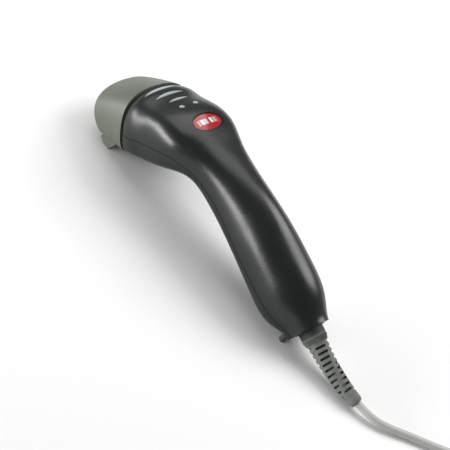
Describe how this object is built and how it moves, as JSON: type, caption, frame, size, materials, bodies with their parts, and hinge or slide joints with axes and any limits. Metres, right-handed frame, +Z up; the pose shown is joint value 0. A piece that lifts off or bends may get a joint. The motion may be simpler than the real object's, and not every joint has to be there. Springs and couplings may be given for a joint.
{
  "type": "handheld barcode scanner",
  "caption": "Pistol-grip handheld barcode scanner with a wide hooded nose, squeeze trigger, slotted strain relief and a coiled cable ending in a flat host plug.",
  "frame": {"origin": "centre of the scanner's footprint on the surface it lies on, at the height of the feet; the cord, coil and plug are left out of that footprint", "axes": "+X towards the nose, +Y to the scanner's left, +Z up from the surface"},
  "size_m": [0.4151, 0.1053, 0.0609],
  "materials": {
    "badge_red": "domed clear over red",
    "barrel_metal": "black anodised",
    "board_green": "glass-fibre board with solder mask",
    "boot_grey": "soft moulded, satin, fine knurl at the collar",
    "capacitor_can": "drawn can",
    "chassis_black": "fine texture",
    "chip_black": "moulded package",
    "clear_glass": "coated optical glass",
    "clear_plastic": "clear moulded plastic",
    "contact_gold": "gold flash",
    "cord_grey": "smooth cable jacket, light grey",
    "crystal_can": "drawn can",
    "flex_amber": "polyimide film",
    "foam_black": "foam",
    "foot_rubber": "matte rubber",
    "hood_grey": "satin moulded plastic, warm green-grey",
    "indicator_white": "small surface-mounted light",
    "led_red": "clear red lens",
    "plug_grey": "moulded grip",
    "plug_metal": "nickel-plated folded sheet",
    "plunger_white": "moulded",
    "screw_black": "black oxide",
    "sensor_ceramic": "ceramic package with glass lid",
    "shell_black": "satin moulded plastic, very dark grey",
    "silver_plastic": "silver-grey, fine cross ribs",
    "socket_ivory": "connector body",
    "soft_black": "matte",
    "spring_steel": "rolled spring strip",
    "steel": "turned and plated",
    "switch_black": "moulded",
    "tie_black": "woven hook-and-loop strap",
    "tongue_white": "moulded",
    "trigger_grey": "satin moulded plastic, warm green-grey",
    "window_red": "polished red-tinted pane"
  },
  "bodies": {
    "housing": {"arc_light_pipes": "silver_plastic", "badge": "badge_red", "board_screws": "steel", "buzzer": "chip_black", "cable_boot": "boot_grey", "cable_socket": "switch_black", "capacitors": "capacitor_can", "case_screws": "screw_black", "coil_tie": "tie_black", "cord_coil": "cord_grey", "cord_lead": "cord_grey", "cord_tail": "cord_grey", "crystal": "crystal_can", "decoder_chip": "chip_black", "dot_lenses": "silver_plastic", "end_ring": "soft_black", "flex_cable": "flex_amber", "flex_sockets": "socket_ivory", "illumination_leds": "led_red", "indicator_board": "board_green", "indicator_leds": "indicator_white", "inner_lead": "cord_grey", "interface_chip": "chip_black", "led_board": "board_green", "led_carrier": "chassis_black", "lens_barrel": "barrel_metal", "lens_glass": "clear_glass", "light_bar": "clear_plastic", "line_sensor": "sensor_ceramic", "lower_shell": "shell_black", "main_board": "board_green", "memory_chip": "chip_black", "modular_plug": "clear_plastic", "nose_gasket": "soft_black", "nose_hood": "hood_grey", "optics_chassis": "chassis_black", "plug_contacts": "contact_gold", "plug_grip": "plug_grey", "plug_shell": "plug_metal", "plug_tongue": "tongue_white", "rear_feet": "foot_rubber", "scan_window": "window_red", "sensor_board": "board_green", "switch_board": "board_green", "trigger_pin": "steel", "trigger_spring": "spring_steel", "trigger_switch": "switch_black", "upper_shell": "shell_black", "window_seal": "foam_black"},
    "trigger": {"trigger": "trigger_grey"},
    "switch_plunger": {"switch_plunger": "plunger_white"}
  },
  "joints": [
    {"name": "trigger_pivot", "type": "hinge", "parent": "housing", "child": "trigger", "pos_m": [0.0343, 0, 0.03623], "axis": [0, 1, 0], "range_deg": [0, 4], "stiffness_Nm_per_rad": 0.3, "springref_deg": -8.59, "deforming": ["trigger_spring"]},
    {"name": "switch_travel", "type": "slide", "parent": "housing", "child": "switch_plunger", "axis": [-0.2656, 0, 0.9641], "range_m": [0, 0.0012], "stiffness_N_per_m": 1}
  ],
  "couplings": [
    {"joint": "switch_travel", "follows": "trigger_pivot", "m_per_rad": 0.0154}
  ]
}
